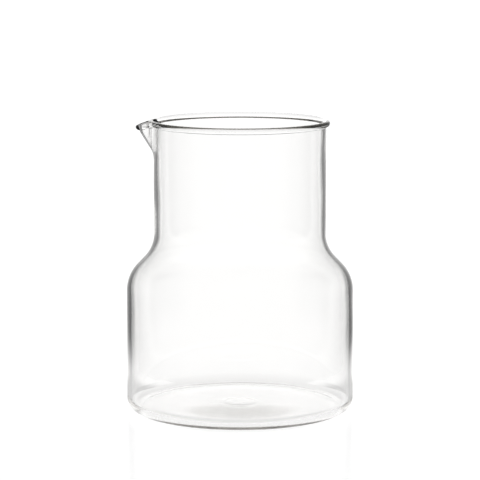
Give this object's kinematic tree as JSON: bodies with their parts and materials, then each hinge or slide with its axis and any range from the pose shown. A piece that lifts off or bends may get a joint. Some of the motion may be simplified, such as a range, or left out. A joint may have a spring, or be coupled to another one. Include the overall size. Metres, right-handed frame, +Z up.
{
  "type": "glass beaker",
  "caption": "Clear glass beaker with a straight round body, a rounded shoulder, a narrower straight neck, an out-turned lip and a small pulled pouring spout.",
  "frame": {"origin": "centre of the round base, on the vessel's axis and on the plane that it stands on", "axes": "+Z up along the vessel's axis, -X towards the pouring spout, +Y completes a right-handed frame"},
  "size_m": [0.1102, 0.1102, 0.1413],
  "materials": {
    "clear_glass": "fire-polished, clear and smooth"
  },
  "bodies": {
    "root": {"beaker_glass": "clear_glass"}
  },
  "joints": []
}
